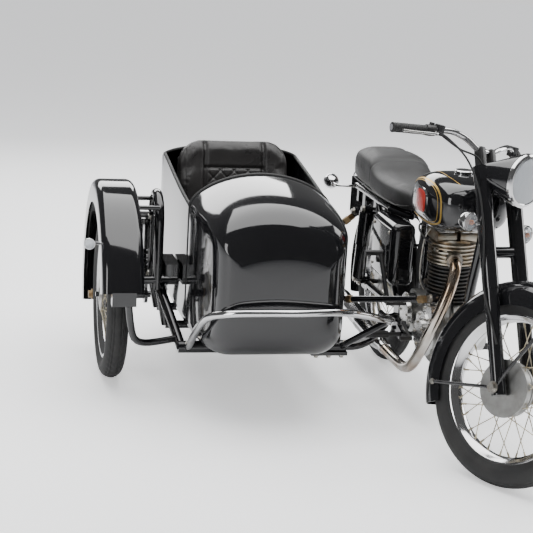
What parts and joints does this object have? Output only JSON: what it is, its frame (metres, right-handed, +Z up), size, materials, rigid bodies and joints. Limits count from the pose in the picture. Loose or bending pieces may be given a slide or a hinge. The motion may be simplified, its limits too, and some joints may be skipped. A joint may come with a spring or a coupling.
{
  "type": "sidecar motorcycle",
  "caption": "Single-cylinder motorcycle with a boat-shaped one-seat sidecar on its right: turning fork, spoked wheels that spin, and a folding centre stand.",
  "frame": {"origin": "middle of the object's box at floor height", "axes": "+X to the rider's left, +Y to the rear, along the length, +Z up; the sidecar is on -X"},
  "size_m": [1.6255, 2.2302, 1.1494],
  "materials": {
    "black_paint": "gloss",
    "chrome_plate": "polished",
    "cast_alloy": "satin",
    "polished_alloy": "polished",
    "black_barrel": "matte",
    "steel": "satin",
    "spoke_zinc": "satin",
    "soft_rubber": "matte",
    "tyre_rubber": "matte",
    "black_leather": "satin",
    "seat_board": "matte",
    "lamp_glass": "clear",
    "red_lens": "gloss",
    "plate_white": "satin"
  },
  "bodies": {
    "chassis": {"frame": "black_paint", "swingarm": "black_paint", "rear_shocks": "black_paint", "crankcase": "cast_alloy", "primary_case": "polished_alloy", "right_covers": "polished_alloy", "cylinder_barrel": "black_barrel", "cylinder_head": "cast_alloy", "carburettor": "cast_alloy", "exhaust_header": "chrome_plate", "silencer": "chrome_plate", "fuel_tank": "black_paint", "filler_cap": "chrome_plate", "saddle": "black_leather", "side_boxes": "black_paint", "rear_mudguard": "black_paint", "number_plate": "plate_white", "tail_lamp": "red_lens", "rear_indicators": "chrome_plate", "foot_controls": "steel", "drive_chain": "steel", "sidecar_chassis": "black_paint", "sidecar_hoop": "black_paint", "mudguard_stay": "black_paint", "sidecar_struts": "black_paint", "bumper": "chrome_plate", "sidecar_arm": "black_paint", "sidecar_shock": "chrome_plate", "sidecar_mudguard": "black_paint", "sidecar_lamp": "chrome_plate", "sidecar_tub": "black_paint", "sidecar_nose": "black_paint", "sidecar_tail": "black_paint", "sidecar_seat_base": "seat_board", "sidecar_cushion": "black_leather", "sidecar_backrest": "black_leather"},
    "steering_head": {"fork": "black_paint", "front_mudguard": "black_paint", "headlamp_nacelle": "black_paint", "headlamp": "lamp_glass", "handlebar": "chrome_plate", "grips": "soft_rubber", "hand_levers": "polished_alloy", "front_brake_plate": "polished_alloy", "brake_cable": "soft_rubber", "front_indicators": "chrome_plate"},
    "front_wheel_set": {"front_wheel": "spoke_zinc", "front_tyre": "tyre_rubber"},
    "rear_wheel_set": {"rear_wheel": "spoke_zinc", "rear_tyre": "tyre_rubber"},
    "sidecar_wheel_set": {"sidecar_wheel": "spoke_zinc", "sidecar_tyre": "tyre_rubber"},
    "stand": {"centre_stand": "black_paint"}
  },
  "joints": [
    {"name": "steering", "type": "hinge", "parent": "chassis", "child": "steering_head", "pos_m": [0.508, -0.92095, 0], "axis": [0, 0.454, 0.891], "range_deg": [-70, 6]},
    {"name": "front_wheel_spin", "type": "hinge", "parent": "steering_head", "child": "front_wheel_set", "pos_m": [0.54372, -0.82374, 0.31669], "axis": [0.848, 0.4722, -0.2406], "continuous": true},
    {"name": "rear_wheel_spin", "type": "hinge", "parent": "chassis", "child": "rear_wheel_set", "pos_m": [0.508, 0.539, 0.33], "axis": [1, 0, 0], "continuous": true},
    {"name": "sidecar_wheel_spin", "type": "hinge", "parent": "chassis", "child": "sidecar_wheel_set", "pos_m": [-0.676, 0.343, 0.325], "axis": [1, 0, 0], "continuous": true},
    {"name": "centre_stand_fold", "type": "hinge", "parent": "chassis", "child": "stand", "pos_m": [0.508, 0.087, 0.262], "axis": [1, 0, 0], "range_deg": [-68, 0]}
  ]
}
